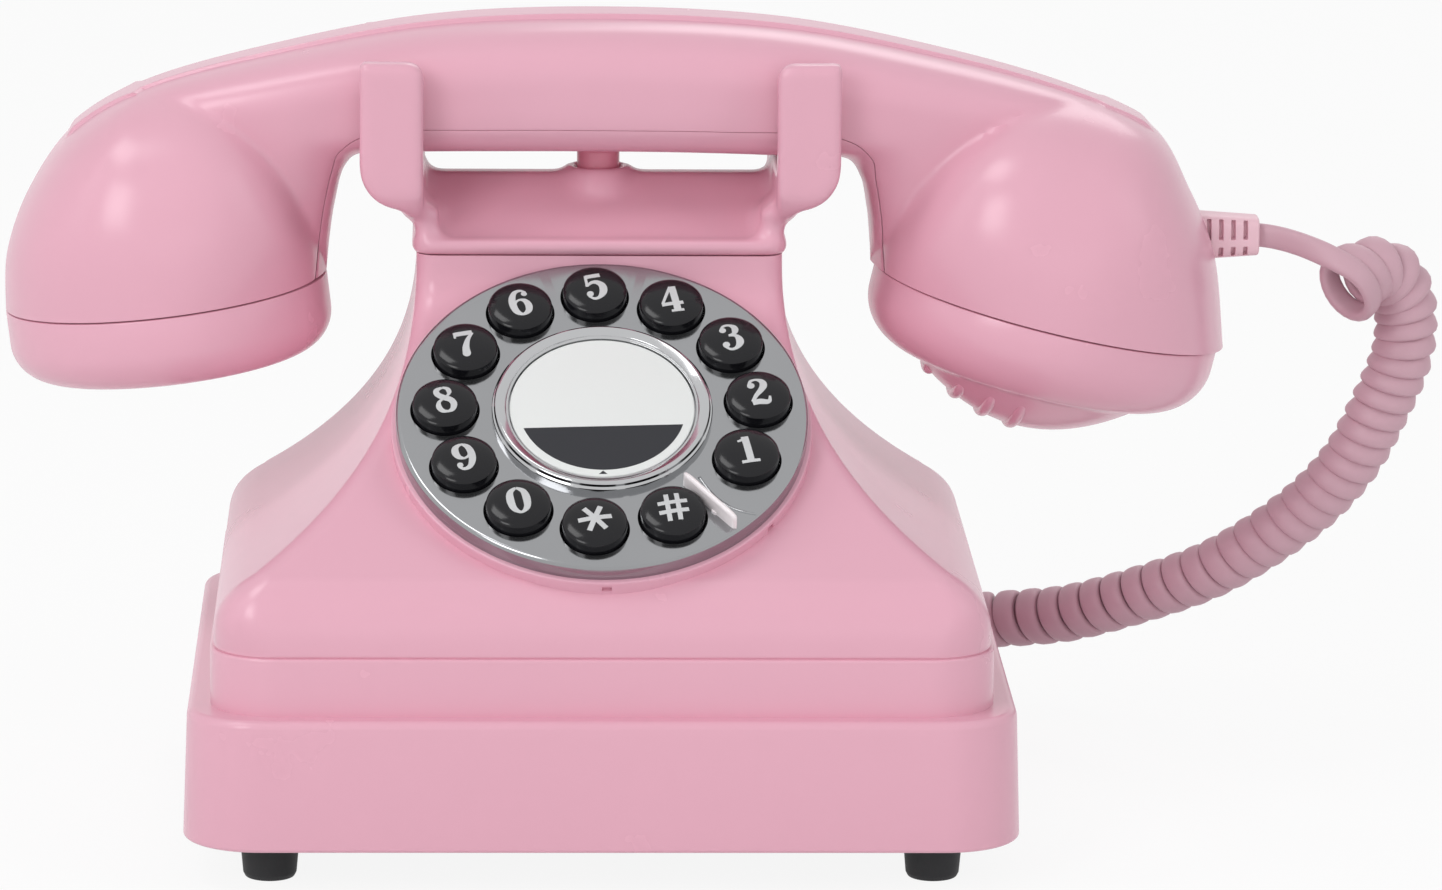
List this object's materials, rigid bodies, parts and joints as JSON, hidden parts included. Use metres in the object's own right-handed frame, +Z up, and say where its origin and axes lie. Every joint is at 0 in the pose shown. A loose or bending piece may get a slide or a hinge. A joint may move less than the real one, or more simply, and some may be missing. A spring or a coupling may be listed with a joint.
{
  "type": "desk telephone",
  "caption": "Retro desk telephone: stepped square base, push-button dial, four-horn cradle and arched handset on a curly cord.",
  "frame": {"origin": "centre of the base at the underside of the feet", "axes": "+X to the right along the handset, from the ear cup to the mouth cup; +Y to the back; +Z up"},
  "size_m": [0.2647, 0.1494, 0.1449],
  "materials": {
    "pink_shell": "polished moulding",
    "plunger_pink": "polished moulding",
    "plate_black": "textured moulding",
    "foot_rubber": "matt rubber",
    "dial_chrome": "bright plated",
    "disc_white": "bare card under clear lacquer",
    "key_black": "polished domes with printed numerals",
    "membrane_grey": "matt silicone",
    "board_green": "lacquered circuit board",
    "steel": "zinc plated",
    "weight_iron": "bare casting",
    "part_black": "moulded",
    "relief_pink": "soft moulding",
    "cord_pink": "matt sheath",
    "plug_clear": "clear moulding"
  },
  "bodies": {
    "root": {"base_plinth": "pink_shell", "bottom_plate": "plate_black", "upper_housing": "pink_shell", "cradle": "pink_shell", "switch_bracket": "steel", "foot_front_left": "foot_rubber", "foot_front_right": "foot_rubber", "foot_rear_left": "foot_rubber", "foot_rear_right": "foot_rubber", "dial_plate": "dial_chrome", "hub_ring": "dial_chrome", "centre_disc": "disc_white", "finger_stop": "dial_chrome", "keypad_membrane": "membrane_grey", "keypad_board": "board_green", "lever_pin": "steel", "hook_switch": "part_black", "plunger_spring": "steel", "main_board": "board_green", "ringer_speaker": "part_black", "ballast_weight": "weight_iron", "handset_jack": "part_black", "line_jack": "part_black", "base_screws": "steel", "housing_screws": "steel", "cradle_screws": "steel", "board_screws": "steel", "dial_screws": "steel", "cord_lead": "cord_pink", "cord_coil": "cord_pink", "cord_tail": "cord_pink", "handset_plug": "plug_clear"},
    "handset": {"handset_shell": "pink_shell", "handset_inner_strip": "pink_shell", "ear_cap": "pink_shell", "mouth_cap": "pink_shell", "receiver_capsule": "part_black", "microphone_capsule": "part_black", "handset_weight": "weight_iron", "handset_screws": "steel", "strain_relief": "relief_pink"},
    "plunger": {"hook_plunger": "plunger_pink"},
    "lever": {"hook_lever": "steel"},
    "key_1": {"button_1": "key_black"},
    "key_2": {"button_2": "key_black"},
    "key_3": {"button_3": "key_black"},
    "key_4": {"button_4": "key_black"},
    "key_5": {"button_5": "key_black"},
    "key_6": {"button_6": "key_black"},
    "key_7": {"button_7": "key_black"},
    "key_8": {"button_8": "key_black"},
    "key_9": {"button_9": "key_black"},
    "key_0": {"button_0": "key_black"},
    "key_star": {"button_star": "key_black"},
    "key_hash": {"button_hash": "key_black"}
  },
  "joints": [
    {"name": "handset_lift", "type": "slide", "parent": "root", "child": "handset", "axis": [0, 0, 1], "range_m": [0, 0.12]},
    {"name": "plunger_rise", "type": "slide", "parent": "root", "child": "plunger", "axis": [0, 0, 1], "range_m": [0, 0.004], "deforming": ["plunger_spring"]},
    {"name": "lever_swing", "type": "hinge", "parent": "root", "child": "lever", "pos_m": [-0.016, 0.0225, 0.0875], "axis": [0, -1, 0], "range_deg": [0, 13.5]},
    {"name": "press_1", "type": "slide", "parent": "root", "child": "key_1", "axis": [0, 0.5878, -0.809], "range_m": [0, 0.0015], "stiffness_N_per_m": 200},
    {"name": "press_2", "type": "slide", "parent": "root", "child": "key_2", "axis": [0, 0.5878, -0.809], "range_m": [0, 0.0015], "stiffness_N_per_m": 200},
    {"name": "press_3", "type": "slide", "parent": "root", "child": "key_3", "axis": [0, 0.5878, -0.809], "range_m": [0, 0.0015], "stiffness_N_per_m": 200},
    {"name": "press_4", "type": "slide", "parent": "root", "child": "key_4", "axis": [0, 0.5878, -0.809], "range_m": [0, 0.0015], "stiffness_N_per_m": 200},
    {"name": "press_5", "type": "slide", "parent": "root", "child": "key_5", "axis": [0, 0.5878, -0.809], "range_m": [0, 0.0015], "stiffness_N_per_m": 200},
    {"name": "press_6", "type": "slide", "parent": "root", "child": "key_6", "axis": [0, 0.5878, -0.809], "range_m": [0, 0.0015], "stiffness_N_per_m": 200},
    {"name": "press_7", "type": "slide", "parent": "root", "child": "key_7", "axis": [0, 0.5878, -0.809], "range_m": [0, 0.0015], "stiffness_N_per_m": 200},
    {"name": "press_8", "type": "slide", "parent": "root", "child": "key_8", "axis": [0, 0.5878, -0.809], "range_m": [0, 0.0015], "stiffness_N_per_m": 200},
    {"name": "press_9", "type": "slide", "parent": "root", "child": "key_9", "axis": [0, 0.5878, -0.809], "range_m": [0, 0.0015], "stiffness_N_per_m": 200},
    {"name": "press_0", "type": "slide", "parent": "root", "child": "key_0", "axis": [0, 0.5878, -0.809], "range_m": [0, 0.0015], "stiffness_N_per_m": 200},
    {"name": "press_star", "type": "slide", "parent": "root", "child": "key_star", "axis": [0, 0.5878, -0.809], "range_m": [0, 0.0015], "stiffness_N_per_m": 200},
    {"name": "press_hash", "type": "slide", "parent": "root", "child": "key_hash", "axis": [0, 0.5878, -0.809], "range_m": [0, 0.0015], "stiffness_N_per_m": 200}
  ],
  "couplings": [
    {"joint": "plunger_rise", "follows": "handset_lift", "ratio": 0.0333},
    {"joint": "lever_swing", "follows": "handset_lift", "rad_per_m": 1.92}
  ]
}
